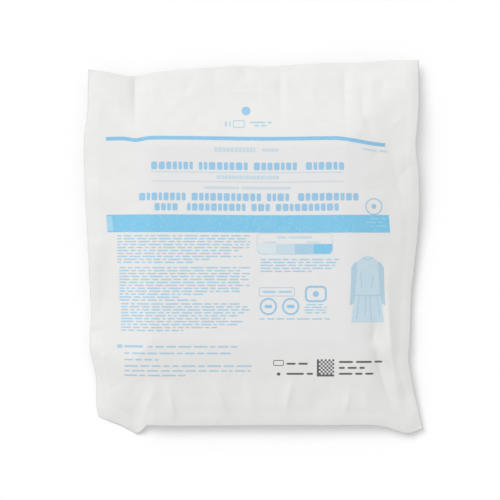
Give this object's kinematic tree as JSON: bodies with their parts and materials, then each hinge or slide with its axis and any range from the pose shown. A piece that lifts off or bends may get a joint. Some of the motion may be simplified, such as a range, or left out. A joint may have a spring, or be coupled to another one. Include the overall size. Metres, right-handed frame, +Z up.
{
  "type": "sealed pouch holding a folded surgical gown",
  "caption": "Flat white soft pouch, heat-sealed along its edges with peel flaps at the top, plump over the folded surgical gown inside, printed on the front.",
  "frame": {"origin": "middle of the pouch's footprint, on the surface that it lies on", "axes": "+Z up from the printed front, +Y towards the edge with the peel flaps, +X towards the reader's right"},
  "size_m": [0.3092, 0.3406, 0.0272],
  "materials": {
    "front_sheet": "soft white fibrous sheet, printed in blue and dark grey",
    "back_sheet": "plain white film, slightly glossy",
    "gown_cloth": "matt nonwoven cloth, medical blue"
  },
  "bodies": {
    "root": {"back_web": "back_sheet", "folded_gown": "gown_cloth", "front_web": "front_sheet"}
  },
  "joints": []
}
